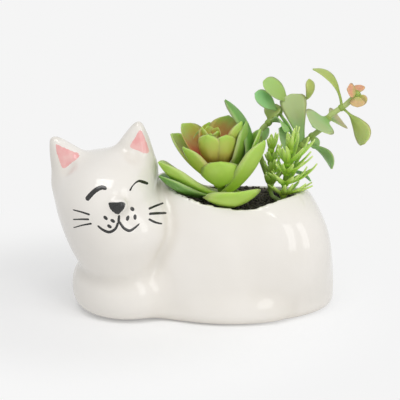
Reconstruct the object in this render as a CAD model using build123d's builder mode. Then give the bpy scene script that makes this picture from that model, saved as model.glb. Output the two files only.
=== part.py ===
from build123d import *

import os
from dataclasses import dataclass
from math import cos, radians, sin

os.makedirs("parts", exist_ok=True)

# A glazed ceramic cat, lying down, whose back opens into a planter for three artificial succulents.
# Millimetres. X runs from the head (-X) to the rump (+X), Y away from the face, Z up, and the origin
# is on the standing face, below the middle of the pot.

# Ceramic shell
wall = 4.5
floor_thickness = 5.0
foot_radius = 5.0
floor_corner_radius = 3.5

# Loaf: the cat's body, a superellipse turned about Z and narrowed in depth
loaf_x = 14.0
loaf_half_length = 62.5
loaf_half_depth = 41.0
loaf_wall_height = 10.0
loaf_crown_height = 80.0
loaf_fullness = 2.25

# Forequarters: the chest and the folded front legs
fore_x = -42.0
fore_y = -6.0
fore_z = 14.0
fore_half_length = 33.0
fore_half_depth = 35.0
fore_half_height = 24.0
fore_fullness = 2.2

# Haunch and hind paw, on the side that the face looks to
haunch_x = 45.5
haunch_y = -17.0
haunch_z = 36.0
haunch_half_length = 26.5
haunch_half_depth = 21.5
haunch_half_height = 30.0
haunch_fullness = 2.2
paw_x = 20.0
paw_y = -33.5
paw_z = 6.0
paw_half_length = 26.0
paw_half_depth = 8.5
paw_half_height = 9.0
paw_fullness = 2.3

# Head, leaning to the cat's right, with its cheeks, and the ears, which lean a little less
head_x = -53.5
head_y = -14.0
head_z = 66.0
head_half_width = 29.2
head_half_depth = 34.0
head_rise = 28.5
head_drop = 55.0
head_fullness = 2.25
head_lean = 15.0
cheeks_across = 8.0
cheeks_forward = 5.0
cheeks_drop = 17.0
cheeks_half_width = 24.5
cheeks_half_depth = 26.0
cheeks_half_height = 18.0
cheeks_fullness = 2.2
ear_lean = 10.5
ear_middle_across = 1.6
ear_set_back = 2.0
ear_root_across = 14.5
ear_root_rise = 18.0
ear_tip_across = 24.0
ear_tip_rise = 42.0
ear_half_width = 17.5
ear_half_depth = 10.0
# along the ear from below its root, then width and depth of the section there
ear_section_shares = (
    (-0.5, 1.05, 1.0),
    (0.0, 1.0, 1.0),
    (0.5, 0.6, 0.68),
    (0.85, 0.27, 0.4),
    (1.0, 0.1, 0.14),
)

# Nose: a low button that stands proud of the face
nose_across = 8.2
nose_rise = 5.5
nose_half_width = 5.2
nose_half_height = 3.8
nose_half_depth = 3.0
nose_set_in = 2.0

# Opening in the back, and what fills it
opening_x = 17.0
opening_half_length = 41.0
opening_half_depth = 30.3
foam_clearance = 0.4
foam_height = 52.0
grit_thickness = 4.5

# Picks: the stems stand in blind holes in the foam, through the grit
pick_depth = 36.5
pick_fit = 0.05
overrun = 1.0
collar_wall = 1.6
collar_fit = 0.05
stem_bend_radius = 4.0
# the plants' lowest leaves pass over the rim, so their base is no further below it than this
rim_drop = 7.0
rim_end_drop = 9.7

# Rosette
rosette_x = 12.5
rosette_y = -7.0
rosette_stem_radius = 2.4
rosette_neck = 3.0
rosette_lean = 17.0
rosette_lean_turn = 223.0
rosette_axis_length = 29.8
rosette_collar_height = 4.4

# Sprig with two arms
branch_x = 40.0
branch_y = 20.0
branch_stem_radius = 1.6
branch_reach = 49.3
branch_rise = 58.5
branch_collar_height = 3.4

# Needle plant with a side shoot
needle_x = 45.5
needle_y = -9.0
needle_stem_radius = 1.5
needle_lean = 7.0
needle_rise = 32.0
needle_collar_height = 3.2
shoot_offset_x = -6.0
shoot_offset_y = 13.0
shoot_stem_radius = 1.2
shoot_fork_rise = 1.7
shoot_rise = 27.0
needle_root_radius = 1.1
needle_length = 16.5
shoot_needle_length = 12.0

# Leaves: the rosette's from the lowest whorl to the heart, then the sprig's two kinds
outer_leaf_length = 45.0
outer_leaf_width = 20.0
outer_leaf_thickness = 3.0
lower_leaf_length = 40.0
lower_leaf_width = 20.0
lower_leaf_thickness = 2.8
upper_leaf_length = 35.0
upper_leaf_width = 17.0
upper_leaf_thickness = 2.5
heart_leaf_length = 20.0
heart_leaf_width = 9.0
heart_leaf_thickness = 2.2
spoon_leaf_length = 20.0
spoon_leaf_width = 12.0
stalked_leaf_length = 28.0
stalked_leaf_width = 12.0
sprig_leaf_thickness = 2.0

foam_top = floor_thickness + foam_height
grit_top = foam_top + grit_thickness
pick_seat = grit_top - pick_depth


def loaf_height(out_share):
    """Height of the loaf's surface at a share of the way out from its middle to its side."""
    return loaf_wall_height + loaf_crown_height * (1 - out_share**loaf_fullness) ** (1 / loaf_fullness)


rim_height = loaf_height(opening_half_depth / loaf_half_depth)
rim_end_height = loaf_height((opening_x + opening_half_length - loaf_x) / loaf_half_length)
plant_base = max(grit_top, rim_height - rim_drop, rim_end_height - rim_end_drop)


@dataclass
class Leaf:
    """One leaf: turn from +X and rise from level in degrees, bend of its midrib, twist about it."""

    turn: float
    rise: float
    bend: float
    twist: float = 0.0
    length_share: float = 1.0
    width_share: float = 1.0
    cup_share: float = 0.4


@dataclass
class LeafKind:
    """What the leaves of one whorl or pair share."""

    length: float
    width: float
    thickness: float
    outline_shares: tuple


# Width of a leaf along its length
rosette_outline_shares = ((0.0, 0.26), (0.2, 0.5), (0.45, 0.88), (0.7, 1.0), (0.9, 0.74), (1.0, 0.08))
spoon_outline_shares = ((0.0, 0.2), (0.18, 0.28), (0.42, 0.8), (0.68, 1.0), (0.88, 0.8), (1.0, 0.14))
stalked_outline_shares = ((0.0, 0.16), (0.25, 0.18), (0.45, 0.62), (0.68, 1.0), (0.88, 0.8), (1.0, 0.12))

outer_leaf = LeafKind(outer_leaf_length, outer_leaf_width, outer_leaf_thickness, rosette_outline_shares)
lower_leaf = LeafKind(lower_leaf_length, lower_leaf_width, lower_leaf_thickness, rosette_outline_shares)
upper_leaf = LeafKind(upper_leaf_length, upper_leaf_width, upper_leaf_thickness, rosette_outline_shares)
heart_leaf = LeafKind(heart_leaf_length, heart_leaf_width, heart_leaf_thickness, rosette_outline_shares)
spoon_leaf = LeafKind(spoon_leaf_length, spoon_leaf_width, sprig_leaf_thickness, spoon_outline_shares)
stalked_leaf = LeafKind(
    stalked_leaf_length, stalked_leaf_width, sprig_leaf_thickness, stalked_outline_shares
)

# Rosette whorls, from the lowest: place along the leaning axis, then the leaves
rosette_whorl_shares = {
    "rosette_outer_whorl": (
        0.1,
        outer_leaf,
        [
            Leaf(195, 4, 50, length_share=0.94, cup_share=0.5),
            Leaf(168, -2, 44, length_share=0.88, width_share=0.85, cup_share=0.45),
            Leaf(282, -13, 60, length_share=0.76, width_share=1.6, cup_share=0.45),
            Leaf(326, 30, 45, width_share=0.95, cup_share=0.4),
            Leaf(14, 36, 45, length_share=0.9, width_share=0.85),
            Leaf(45, 48, 60, length_share=1.2, cup_share=0.35),
        ],
    ),
    "rosette_lower_whorl": (
        0.36,
        lower_leaf,
        [
            Leaf(177, 20, 50, length_share=1.04),
            Leaf(217, 20, 45, width_share=0.95),
            Leaf(268, 10, 65, length_share=0.79, width_share=1.15, cup_share=0.5),
            Leaf(342, 42, 50, width_share=0.95),
            Leaf(128, 36, 50, width_share=0.95),
        ],
    ),
    "rosette_upper_whorl": (
        0.6,
        upper_leaf,
        [
            Leaf(184, 36, 35, length_share=1.05, width_share=1.05),
            Leaf(252, 41, 35, length_share=0.95),
            Leaf(300, 44, 38, length_share=0.95),
            Leaf(350, 50, 35, width_share=0.95),
            Leaf(66, 52, 30, width_share=1.05),
            Leaf(125, 46, 35),
        ],
    ),
    "rosette_heart": (
        1.0,
        heart_leaf,
        [
            Leaf(194, 64, 15, length_share=1.08),
            Leaf(122, 66, 15),
            Leaf(250, 70, 15, length_share=0.9),
            Leaf(320, 72, 15, length_share=0.85),
            Leaf(50, 70, 15, length_share=0.9),
        ],
    ),
}

# Sprig arms: reach along X and Y, as shares of the long arm's reach, and rise of each corner above the fork
fork_rise_share = 0.06
long_arm_shares = (
    (0.23, -0.02, 0.315),
    (0.4, -0.06, 0.52),
    (0.6, -0.06, 0.655),
    (0.69, -0.04, 0.785),
    (0.865, -0.04, 0.885),
    (1.0, -0.06, 1.0),
)
short_arm_shares = (
    (-0.15, 0.02, 0.415),
    (-0.105, 0.06, 0.62),
    (0.05, 0.08, 0.745),
    (0.14, 0.1, 0.83),
    (0.375, 0.12, 0.915),
)

# Sprig leaves: arm, run of that arm, place along the run, then the leaves
sprig_leaf_shares = {
    "twig_low_leaves": ("short", 1, 0.2, spoon_leaf, [
        Leaf(20, 50, 20, 60, 0.6, 0.75, 0.15),
        Leaf(170, 30, 20, 0, 0.5, 0.75, 0.15),
    ]),
    "twig_middle_leaves": ("short", 2, 0.5, spoon_leaf, [
        Leaf(130, 75, -20, -40, 0.62, 1.0, 0.15),
        Leaf(340, 29, -95, 25, 0.9, 0.75, 0.15),
    ]),
    "twig_upper_leaves": ("short", 3, 0.5, spoon_leaf, [
        Leaf(201, 49, -15, 60, 1.02, 0.9, 0.15),
        Leaf(308, -25, -25, 20, 0.95, 0.66, 0.15),
    ]),
    "twig_end_leaf": ("short", 4, 0.35, spoon_leaf, [
        Leaf(207, 52, -30, 55, 1.09, 1.1, 0.15),
    ]),
    "twig_tip_leaf": ("short", 4, 1.0, spoon_leaf, [
        Leaf(115, 100, -50, 60, 0.64, 0.8, 0.15),
    ]),
    "branch_base_leaf": ("long", 1, 0.56, stalked_leaf, [
        Leaf(2, 16, -60, 30, 0.68, 0.75, 0.15),
    ]),
    "branch_low_leaves": ("long", 2, 0.16, spoon_leaf, [
        Leaf(208, 59, 10, 50, 1.08, 1.15, 0.15),
        Leaf(37, 53, 10, -60, 0.54, 0.75, 0.15),
    ]),
    "branch_broad_leaves": ("long", 2, 0.82, stalked_leaf, [
        Leaf(215, 70, 16, 0, 0.96, 1.4, 0.2),
        Leaf(25, -22, -70, 45, 0.97, 0.92, 0.15),
    ]),
    "branch_small_leaf": ("long", 3, 0.4, spoon_leaf, [
        Leaf(68, -48, -30, 60, 0.5, 0.55, 0.15),
    ]),
    "branch_middle_leaves": ("long", 4, 0.5, spoon_leaf, [
        Leaf(240, -20, -25, 30, 0.85, 1.3, 0.2),
        Leaf(20, -28, -15, 60, 0.87, 0.92, 0.15),
    ]),
    "branch_upper_leaves": ("long", 5, 0.75, stalked_leaf, [
        Leaf(200, 96, -80, 60, 1.05, 1.05, 0.15),
        Leaf(20, -20, -80, 45, 1.02, 1.15, 0.15),
    ]),
    "branch_tip_leaves": ("long", 6, 1.0, spoon_leaf, [
        Leaf(208, 26, 10, 60, 0.42, 0.75, 0.2),
        Leaf(268, -50, -10, 0, 0.4, 0.75, 0.2),
        Leaf(58, 45, 10, 0, 0.3, 0.6, 0.2),
        Leaf(332, -38, -10, 60, 0.37, 0.66, 0.2),
    ]),
}

# Needle whorls: place along the stem, needles in the whorl, rise, bend, length, and the sector left free
# on the side of the shoot
needle_whorl_shares = {
    "needle_whorl_1": (0.2, 6, 16, 30, 0.9, 100),
    "needle_whorl_2": (0.4, 7, 20, 35, 0.95, 90),
    "needle_whorl_3": (0.6, 7, 28, 35, 1.0, 70),
    "needle_whorl_4": (0.77, 7, 36, 35, 0.95, 40),
    "needle_crown": (1.0, 7, 64, 20, 0.75, 0),
}
shoot_whorl_shares = {
    "shoot_whorl_1": (0.24, 4, 45, 30, 0.85, 0),
    "shoot_whorl_2": (0.48, 4, 45, 30, 0.85, 30),
    "shoot_whorl_3": (0.72, 4, 45, 30, 0.85, 0),
    "shoot_crown": (1.0, 4, 68, 14, 0.8, 30),
}
needle_section_shares = ((0.0, 0.75), (0.3, 1.0), (0.7, 0.72), (1.0, 0.2))
profile_steps = 10


def finish(piece, name):
    """Label one piece and write it."""
    piece.label = name
    export_step(piece, f"parts/{name}.step")


def superellipse(half_width, half_height, fullness, angle):
    """Point of a superellipse quadrant at an angle from its widest point, in degrees."""
    across = half_width * cos(radians(angle)) ** (2 / fullness)
    up = half_height * sin(radians(angle)) ** (2 / fullness)
    return across, up


def quadrant(half_width, half_height, fullness):
    """Points of one superellipse quadrant, from its widest point to its top."""
    steps = range(1, profile_steps)
    between = [superellipse(half_width, half_height, fullness, 90 * i / profile_steps) for i in steps]
    return [(half_width, 0), *between, (0, half_height)]


def egg(half_width, half_depth, rise, drop, fullness):
    """A rounded form about its widest level, with its own height above and below that level."""
    top = quadrant(half_width, rise, fullness)
    bottom = quadrant(half_width, drop, fullness)
    with BuildPart() as form:
        with BuildSketch(Plane.XZ):
            with BuildLine():
                Spline(*top, tangents=[(0, 1), (-1, 0)])
                Spline(*[(x, -z) for x, z in reversed(bottom)], tangents=[(1, 0), (0, 1)])
                Line((0, rise), (0, -drop))
            make_face()
        revolve(axis=Axis.Z)
        scale(by=(1, half_depth / half_width, 1))
    return form.part


def loaf(half_length, half_depth, base, shoulder, crown, corner):
    """The body form: upright at its foot, rounded over to its crown, with a rounded bottom edge."""
    top = [(x, shoulder + z) for x, z in quadrant(half_length, crown, loaf_fullness)]
    with BuildPart() as form:
        with BuildSketch(Plane.XZ):
            with BuildLine():
                Line((0, base), (half_length - corner, base))
                RadiusArc((half_length - corner, base), (half_length, base + corner), -corner)
                Line((half_length, base + corner), (half_length, shoulder))
                Spline(*top, tangents=[(0, 1), (-1, 0)])
                Line((0, shoulder + crown), (0, base))
            make_face()
        revolve(axis=Axis.Z)
        scale(by=(1, half_depth / half_length, 1))
    return form.part


def ear(side):
    """One ear in the head's own frame, with side -1 or 1 across the head."""
    root = Vector(ear_middle_across + side * ear_root_across, ear_set_back, ear_root_rise)
    tip = Vector(ear_middle_across + side * ear_tip_across, 0, ear_tip_rise)
    with BuildPart() as form:
        for along_share, width_share, depth_share in ear_section_shares:
            with BuildSketch(Plane(root + (tip - root) * along_share)):
                Ellipse(ear_half_width * width_share, ear_half_depth * depth_share)
        loft()
    return form.part


def leaf_directions(leaf):
    """Unit vectors of a leaf at its root: along it, out of its upper face, and across it."""
    turn, rise, twist = radians(leaf.turn), radians(leaf.rise), radians(leaf.twist)
    along = Vector(cos(turn) * cos(rise), sin(turn) * cos(rise), sin(rise))
    level_up = Vector(-cos(turn) * sin(rise), -sin(turn) * sin(rise), cos(rise))
    level_across = level_up.cross(along)
    up = level_up * cos(twist) + level_across * sin(twist)
    return along, up, up.cross(along)


def midrib_plane(root, leaf, length, share):
    """Plane across a leaf at a share of its length, with x across it and y out of its upper face."""
    along, up, across = leaf_directions(leaf)
    bend = radians(leaf.bend)
    radius = length / bend
    centre = root + (along * sin(bend * share) + up * (1 - cos(bend * share))) * radius
    tangent = along * cos(bend * share) + up * sin(bend * share)
    return Plane(origin=centre, x_dir=across, z_dir=tangent)


def leaf_whorl(plane, kind, leaves, stem_radius, stem_way, height):
    """Leaves moulded round one collar that is threaded on a stem, with the stem's way cut through it."""
    with BuildPart() as whorl:
        with BuildSketch(plane):
            Circle(stem_radius + collar_wall)
        extrude(amount=height / 2, both=True)
        for leaf in leaves:
            for along_share, width_share in kind.outline_shares:
                half_width = kind.width * leaf.width_share * width_share / 2
                edge = half_width * leaf.cup_share
                half_thickness = kind.thickness * (1 - along_share / 2) / 2
                section = midrib_plane(plane.origin, leaf, kind.length * leaf.length_share, along_share)
                with BuildSketch(section):
                    with BuildLine():
                        ThreePointArc((-half_width, edge), (0, -half_thickness), (half_width, edge))
                        ThreePointArc((half_width, edge), (0, half_thickness), (-half_width, edge))
                    make_face()
            loft()
        add(stem_way, mode=Mode.SUBTRACT)
    return whorl.part


def needle_whorl(plane, row, length, stem_radius, stem_way):
    """Needles moulded round one collar that is threaded on a stem, spread over all but a free sector."""
    _, count, rise, bend, length_share, free_sector = row
    with BuildPart() as whorl:
        with BuildSketch(plane):
            Circle(stem_radius + collar_wall / 2)
        extrude(amount=needle_collar_height / 2, both=True)
        for i in range(count):
            turn = free_turn + free_sector / 2 + (360 - free_sector) * (i + 0.5) / count
            needle = Leaf(turn, rise, bend)
            for along_share, radius_share in needle_section_shares:
                with BuildSketch(midrib_plane(plane.origin, needle, length * length_share, along_share)):
                    Circle(needle_root_radius * radius_share)
            loft()
        add(stem_way, mode=Mode.SUBTRACT)
    return whorl.part


def stem_along(points, radius):
    """A round stem through the given corners, with rounded bends."""
    with BuildPart() as stem:
        with BuildLine() as path:
            FilletPolyline(*points, radius=stem_bend_radius)
        with BuildSketch(Plane(origin=path.line @ 0, z_dir=path.line % 0)):
            Circle(radius)
        sweep(path=path.line)
    return stem.part


def run_plane(points, run, share):
    """Plane across one straight run of a stem."""
    start, end = points[run], points[run + 1]
    return Plane(origin=start + (end - start) * share, z_dir=end - start)


# Cat pot: loaf, haunch, hind paw, forequarters, head, cheeks and ears in one casting, hollow inside and
# open at the back
head_place = Location((head_x, head_y, head_z), (0, -head_lean, 0))
ear_place = Location((head_x, head_y, head_z), (0, -ear_lean, 0))
body_form = loaf(loaf_half_length, loaf_half_depth, 0, loaf_wall_height, loaf_crown_height, foot_radius)
body_hollow = loaf(
    loaf_half_length - wall,
    loaf_half_depth - wall,
    floor_thickness,
    loaf_wall_height,
    loaf_crown_height - wall,
    floor_corner_radius,
)
haunch_form = egg(
    haunch_half_length, haunch_half_depth, haunch_half_height, haunch_half_height, haunch_fullness
)
paw_form = egg(paw_half_length, paw_half_depth, paw_half_height, paw_half_height, paw_fullness)
fore_form = egg(fore_half_length, fore_half_depth, fore_half_height, fore_half_height, fore_fullness)
fore_hollow_height = fore_half_height - wall
with BuildPart() as fore_hollow:
    add(
        egg(
            fore_half_length - wall,
            fore_half_depth - wall,
            fore_hollow_height,
            fore_hollow_height,
            fore_fullness,
        )
    )
    split(bisect_by=Plane.XY.offset(floor_thickness - fore_z), keep=Keep.TOP)
head_form = egg(head_half_width, head_half_depth, head_rise, head_drop, head_fullness)
head_hollow = egg(
    head_half_width - wall, head_half_depth - wall, head_rise - wall, head_drop - wall, head_fullness
)
cheeks_form = egg(
    cheeks_half_width, cheeks_half_depth, cheeks_half_height, cheeks_half_height, cheeks_fullness
)
cheeks_place = head_place * Location((cheeks_across, -cheeks_forward, -cheeks_drop))
nose_form = egg(nose_half_width, nose_half_depth, nose_half_height, nose_half_height, head_fullness)
nose_place = ear_place * Location((nose_across, nose_set_in - head_half_depth, nose_rise))

with BuildPart() as cat_pot:
    with Locations((loaf_x, 0, 0)):
        add(body_form)
    with Locations((haunch_x, haunch_y, haunch_z)):
        add(haunch_form)
    with Locations((paw_x, paw_y, paw_z)):
        add(paw_form)
    with Locations((fore_x, fore_y, fore_z)):
        add(fore_form)
    with Locations(head_place):
        add(head_form)
    with Locations(cheeks_place):
        add(cheeks_form)
    with Locations(ear_place):
        add(ear(-1))
        add(ear(1))
    with Locations(nose_place):
        add(nose_form)
    split(bisect_by=Plane.XY, keep=Keep.TOP)
    with Locations((loaf_x, 0, 0)):
        add(body_hollow, mode=Mode.SUBTRACT)
    with Locations((fore_x, fore_y, fore_z)):
        add(fore_hollow.part, mode=Mode.SUBTRACT)
    with Locations(head_place):
        add(head_hollow, mode=Mode.SUBTRACT)
    with BuildSketch(Plane.XY.offset(floor_thickness)):
        with Locations((opening_x, 0)):
            Ellipse(opening_half_length, opening_half_depth)
    extrude(amount=loaf_wall_height + loaf_crown_height, mode=Mode.SUBTRACT)
finish(cat_pot.part, "cat_pot")

# Stem corners of the three picks
rosette_foot = Vector(rosette_x, rosette_y, pick_seat)
rosette_neck_point = Vector(rosette_x, rosette_y, plant_base + rosette_neck)
lean, lean_turn = radians(rosette_lean), radians(rosette_lean_turn)
rosette_axis = Vector(sin(lean) * cos(lean_turn), sin(lean) * sin(lean_turn), cos(lean))
rosette_points = [rosette_foot, rosette_neck_point, rosette_neck_point + rosette_axis * rosette_axis_length]


def arm_points(corner_shares):
    """Corners of one arm of the sprig, from the fork."""
    corners = [(0, 0, fork_rise_share), *corner_shares]
    places = [
        Vector(branch_x + branch_reach * x, branch_y + branch_reach * y, plant_base + branch_rise * z)
        for x, y, z in corners
    ]
    return places


branch_foot = Vector(branch_x, branch_y, pick_seat)
arms = {"long": [branch_foot, *arm_points(long_arm_shares)], "short": arm_points(short_arm_shares)}
needle_foot = Vector(needle_x, needle_y, pick_seat)
needle_neck = Vector(needle_x, needle_y, plant_base)
needle_tip = needle_neck + Vector(sin(radians(needle_lean)), 0, cos(radians(needle_lean))) * needle_rise
shoot_turn = needle_neck + Vector(shoot_offset_x, shoot_offset_y, shoot_fork_rise)
shoot_fork = needle_neck + Vector(0, 0, shoot_fork_rise)
shoot_points = [shoot_fork, shoot_turn, shoot_turn + Vector(0, 0, shoot_rise)]
free_turn = Vector(1, 0, 0).get_signed_angle(Vector(shoot_offset_x, shoot_offset_y, 0), Vector(0, 0, 1))

# Foam block and grit topping: upright columns that pass the opening, bored for the three stems
plug_half_length = opening_half_length - foam_clearance
plug_half_depth = opening_half_depth - foam_clearance
stem_places = [
    (rosette_stem_radius, (rosette_x, rosette_y)),
    (branch_stem_radius, (branch_x, branch_y)),
    (needle_stem_radius, (needle_x, needle_y)),
]


def plug(bottom, height, hole_bottom):
    """One layer of the filling, with the stems' holes from a given height up."""
    with BuildPart() as layer:
        with BuildSketch(Plane.XY.offset(bottom)):
            with Locations((opening_x, 0)):
                Ellipse(plug_half_length, plug_half_depth)
        extrude(amount=height)
        with BuildSketch(Plane.XY.offset(hole_bottom)):
            for radius, place in stem_places:
                with Locations(place):
                    Circle(radius + pick_fit)
        extrude(amount=height + overrun, mode=Mode.SUBTRACT)
    return layer.part


finish(plug(floor_thickness, foam_height, pick_seat), "foam_block")
finish(plug(foam_top, grit_thickness, foam_top - overrun / 2), "grit_topping")

# Rosette
finish(stem_along(rosette_points, rosette_stem_radius), "rosette_stem")
rosette_way = stem_along(rosette_points, rosette_stem_radius + collar_fit)
for name, (place_share, kind, leaves) in rosette_whorl_shares.items():
    plane = run_plane(rosette_points, 1, place_share)
    whorl = leaf_whorl(plane, kind, leaves, rosette_stem_radius, rosette_way, rosette_collar_height)
    finish(whorl, name)


def forked_stem(main_points, main_radius, side_points, side_radius):
    """A stem and its side arm in one piece."""
    with BuildPart() as stem:
        add(stem_along(main_points, main_radius))
        add(stem_along(side_points, side_radius))
    return stem.part


# Sprig: both arms of the stem, then its leaf pairs
sprig_radius = branch_stem_radius
finish(forked_stem(arms["long"], sprig_radius, arms["short"], sprig_radius), "branch_stem")
way_radius = sprig_radius + collar_fit
branch_way = forked_stem(arms["long"], way_radius, arms["short"], way_radius)
for name, (arm, run, place_share, kind, leaves) in sprig_leaf_shares.items():
    plane = run_plane(arms[arm], run, place_share)
    finish(leaf_whorl(plane, kind, leaves, sprig_radius, branch_way, branch_collar_height), name)

# Needle plant: the stem and its side shoot, then their whorls
needle_points = [needle_foot, needle_neck, needle_tip]
finish(forked_stem(needle_points, needle_stem_radius, shoot_points, shoot_stem_radius), "needle_stem")
needle_way = forked_stem(
    needle_points, needle_stem_radius + collar_fit, shoot_points, shoot_stem_radius + collar_fit
)
for name, row in needle_whorl_shares.items():
    plane = run_plane(needle_points, 1, row[0])
    finish(needle_whorl(plane, row, needle_length, needle_stem_radius, needle_way), name)
for name, row in shoot_whorl_shares.items():
    plane = run_plane(shoot_points, 1, row[0])
    finish(needle_whorl(plane, row, shoot_needle_length, shoot_stem_radius, needle_way), name)
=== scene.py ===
# %% [markdown]
# Cat planter: a glazed ceramic cat, lying down, whose open back holds three artificial succulents.
# The CAD model gives every piece its place and its moving body. This lesson dresses it: the pot gets
# the soft joins of a slip casting, and the leaves get the thin, cupped forms of moulded plastic.
# Everything is in metres in the CAD's frame, and the sizes below are in millimetres times MM.

# %% Frame and units
import math

import bpy
import numpy as np
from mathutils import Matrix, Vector


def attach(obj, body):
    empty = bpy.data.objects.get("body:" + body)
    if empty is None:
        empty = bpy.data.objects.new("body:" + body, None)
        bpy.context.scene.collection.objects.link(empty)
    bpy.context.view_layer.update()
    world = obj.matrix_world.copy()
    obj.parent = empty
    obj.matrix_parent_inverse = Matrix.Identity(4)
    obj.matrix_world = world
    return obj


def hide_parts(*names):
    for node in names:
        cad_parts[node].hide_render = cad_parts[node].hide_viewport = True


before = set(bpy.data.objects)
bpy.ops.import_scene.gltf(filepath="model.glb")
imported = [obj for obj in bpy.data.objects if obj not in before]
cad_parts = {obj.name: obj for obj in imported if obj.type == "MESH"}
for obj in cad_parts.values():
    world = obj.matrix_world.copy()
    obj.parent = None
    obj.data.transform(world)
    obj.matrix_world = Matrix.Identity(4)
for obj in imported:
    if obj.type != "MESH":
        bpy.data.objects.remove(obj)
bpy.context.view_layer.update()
MM = 0.001

# %% [markdown]
# The camera comes first, because every shape is judged through it. The photograph was taken from a
# little above, about 17 degrees, with a long lens, so the near and far rims look almost parallel.

# %% Camera
camera_rise = math.radians(17.0)
camera_distance = 1.0
camera_aim = Vector((-1.15, 0.0, 61.6)) * MM
camera = bpy.data.objects.new("camera", bpy.data.cameras.new("camera"))
bpy.context.scene.collection.objects.link(camera)
camera.data.sensor_width = 36.0
camera.data.lens = 156.5
camera.location = camera_aim + Vector((0, -math.cos(camera_rise), math.sin(camera_rise))) * camera_distance
camera.rotation_euler = (math.pi / 2 - camera_rise, 0, 0)
bpy.context.scene.camera = camera
bpy.context.scene.view_settings.view_transform = "Standard"
print("camera at", [round(c, 3) for c in camera.location])

# %% [markdown]
# Colours are written as sRGB hex, as a colour picker shows them, and Blender's sockets want linear
# light. Materials are made of nodes, so one small function adds a node with its settings, its values
# and the links that come into it.

# %% Colour and node helpers


def linear(colour):
    """An sRGB hex colour as linear RGBA."""
    shares = [int(colour[i : i + 2], 16) / 255 for i in (1, 3, 5)]
    return [*(s / 12.92 if s <= 0.04045 else ((s + 0.055) / 1.055) ** 2.4 for s in shares), 1.0]


def set_inputs(node, **inputs):
    """Give each input, by name or as _number, a value, a socket or a node, whose first output feeds it."""
    for name, value in inputs.items():
        number = name[1:]
        socket = node.inputs[int(number) if number.isdigit() else name.replace("_", " ")]
        if isinstance(value, bpy.types.Node):
            value = value.outputs[0]
        if isinstance(value, bpy.types.NodeSocket):
            node.id_data.links.new(value, socket)
        else:
            socket.default_value = value


def add_node(tree, kind, settings=None, stops=None, **inputs):
    """Add a node with its settings, a ramp's stops and its inputs."""
    node = tree.nodes.new("ShaderNode" + kind)
    for name, value in (settings or {}).items():
        setattr(node, name, value)
    for i, (place, colour) in enumerate(stops or []):
        elements = node.color_ramp.elements
        element = elements[i] if i < 2 else elements.new(place)
        element.position, element.color = place, linear(colour)
    set_inputs(node, **inputs)
    return node


def start_material(name):
    """A new material, its tree, its surface shader and the place that its patterns follow."""
    material = bpy.data.materials.new(name)
    material.use_nodes = True
    tree = material.node_tree
    return material, tree, tree.nodes["Principled BSDF"], add_node(tree, "TexCoord").outputs["Object"]


def dress(name, material):
    """Give a material to a CAD solid that is shown as it is."""
    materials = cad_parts[name].data.materials
    materials.clear()
    materials.append(material)


print("mid grey as linear light:", [round(c, 3) for c in linear("#808080")])

# %% [markdown]
# The studio is a pale floor and a pale surround. Light Path lets the camera and the reflections see
# one even pale grey, while the floor next to the planter stays a real surface that keeps its shadow.
# Two soft boxes stand where the photograph's reflections say: one overhead in front, and a tall
# pair to the right that draws the window marks on the haunch.

# %% Studio
backdrop_colour, paper_colour = "#F5F5F5", "#F4F4F4"
world_light = 0.5


def seen_directly(tree):
    """One for a ray from the camera, a mirror or glass, and nought for a ray that gathers light."""
    rays = add_node(tree, "LightPath")
    seen = rays.outputs["Is Camera Ray"]
    for kind in ("Is Glossy Ray", "Is Transmission Ray"):
        seen = add_node(tree, "Math", {"operation": "MAXIMUM"}, _0=seen, _1=rays.outputs[kind])
    return seen


world = bpy.data.worlds.new("studio")
bpy.context.scene.world = world
world.use_nodes = True
tree = world.node_tree
tree.nodes.clear()
light = add_node(tree, "Background", Color=linear("#FFFFFF"), Strength=world_light)
shown = add_node(tree, "Background", Color=linear(backdrop_colour), Strength=1.0)
mixed = add_node(tree, "MixShader", _0=seen_directly(tree), _1=light, _2=shown)
add_node(tree, "OutputWorld", Surface=mixed)

# The paper keeps its shadow up to floor_near from the middle of the shade, and is all backdrop past
# floor_far. glow_share of the backdrop is mixed in even close by, a little brighter, to keep it pale.
floor_reach, floor_near, floor_far, glow_share, glow_boost = 3.0, 0.07, 0.19, 0.26, 0.3
shade_middle = (-0.065, 0.0, 0.0)
floor_height = -0.0002
bpy.ops.mesh.primitive_circle_add(vertices=96, radius=floor_reach, fill_type="NGON")
floor = bpy.context.object
floor.location.z = floor_height
floor.name = "floor"
# Matt pale paper: no shine, so the planter's shadow is all it shows.
material, tree, _, where = start_material("pale paper floor")
away = add_node(tree, "VectorMath", {"operation": "DISTANCE"}, _0=where, _1=shade_middle)
fade = add_node(tree, "MapRange", {"interpolation_type": "SMOOTHSTEP"}, Value=away.outputs["Value"])
set_inputs(fade, From_Min=floor_near, From_Max=floor_far, To_Min=glow_share)
even = add_node(tree, "Math", {"operation": "MULTIPLY"}, _0=fade, _1=seen_directly(tree))
paper = add_node(tree, "BsdfDiffuse", Color=linear(paper_colour))
strength = add_node(tree, "Math", {"operation": "MULTIPLY_ADD"}, _0=fade, _1=-glow_boost, _2=1 + glow_boost)
glow = add_node(tree, "Emission", Color=linear(backdrop_colour), Strength=strength)
mixed = add_node(tree, "MixShader", _0=even, _1=paper, _2=glow)
set_inputs(tree.nodes["Material Output"], Surface=mixed)
floor.data.materials.append(material)


def soft_box(name, place, aim, width, height, watts):
    """A rectangular lamp that points at the planter."""
    lamp = bpy.data.lights.new(name, "AREA")
    lamp.shape, lamp.size, lamp.size_y, lamp.energy = "RECTANGLE", width, height, watts
    box = bpy.data.objects.new(name, lamp)
    bpy.context.scene.collection.objects.link(box)
    box.location = place
    box.rotation_euler = (Vector(aim) - Vector(place)).to_track_quat("-Z", "Y").to_euler()


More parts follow.
